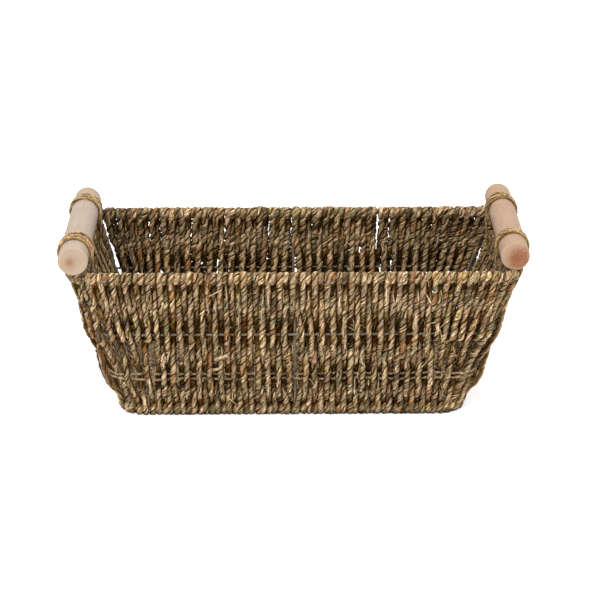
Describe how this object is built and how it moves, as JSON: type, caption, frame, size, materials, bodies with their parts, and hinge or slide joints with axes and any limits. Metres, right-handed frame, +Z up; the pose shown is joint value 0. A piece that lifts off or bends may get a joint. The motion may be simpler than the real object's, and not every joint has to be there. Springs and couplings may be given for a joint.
{
  "type": "bread basket",
  "caption": "rectangular bread basket: flared wire frame wound with twisted seagrass cord, with a round wooden handle tied along each short end",
  "frame": {"origin": "middle of the basket's overall footprint, on the surface that it stands on", "axes": "+X along the length towards the right handle, +Y across the width from front to back, +Z up"},
  "size_m": [0.389, 0.18, 0.1554],
  "materials": {
    "steel_wire": "dull grey drawn wire",
    "seagrass_cord": "dry two-ply seagrass cord, tan to olive, matt",
    "handle_wood": "pale unvarnished wood, sanded",
    "lashing_twine": "golden twisted grass twine"
  },
  "bodies": {
    "root": {"rim_wire": "steel_wire", "middle_wire": "steel_wire", "base_wire": "steel_wire", "front_left_strut": "steel_wire", "front_right_strut": "steel_wire", "back_left_strut": "steel_wire", "back_right_strut": "steel_wire", "front_centre_strut": "steel_wire", "back_centre_strut": "steel_wire", "left_centre_strut": "steel_wire", "right_centre_strut": "steel_wire", "front_floor_wire": "steel_wire", "back_floor_wire": "steel_wire", "rim_wrapping": "seagrass_cord", "base_wrapping": "seagrass_cord", "floor_weave": "seagrass_cord", "front_outer_cords": "seagrass_cord", "back_outer_cords": "seagrass_cord", "left_outer_cords": "seagrass_cord", "right_outer_cords": "seagrass_cord", "front_inner_cords": "seagrass_cord", "back_inner_cords": "seagrass_cord", "left_inner_cords": "seagrass_cord", "right_inner_cords": "seagrass_cord", "upper_cross_strand": "seagrass_cord", "lower_cross_strand": "seagrass_cord", "left_handle": "handle_wood", "right_handle": "handle_wood", "left_front_lashing": "lashing_twine", "left_back_lashing": "lashing_twine", "right_front_lashing": "lashing_twine", "right_back_lashing": "lashing_twine"}
  },
  "joints": []
}
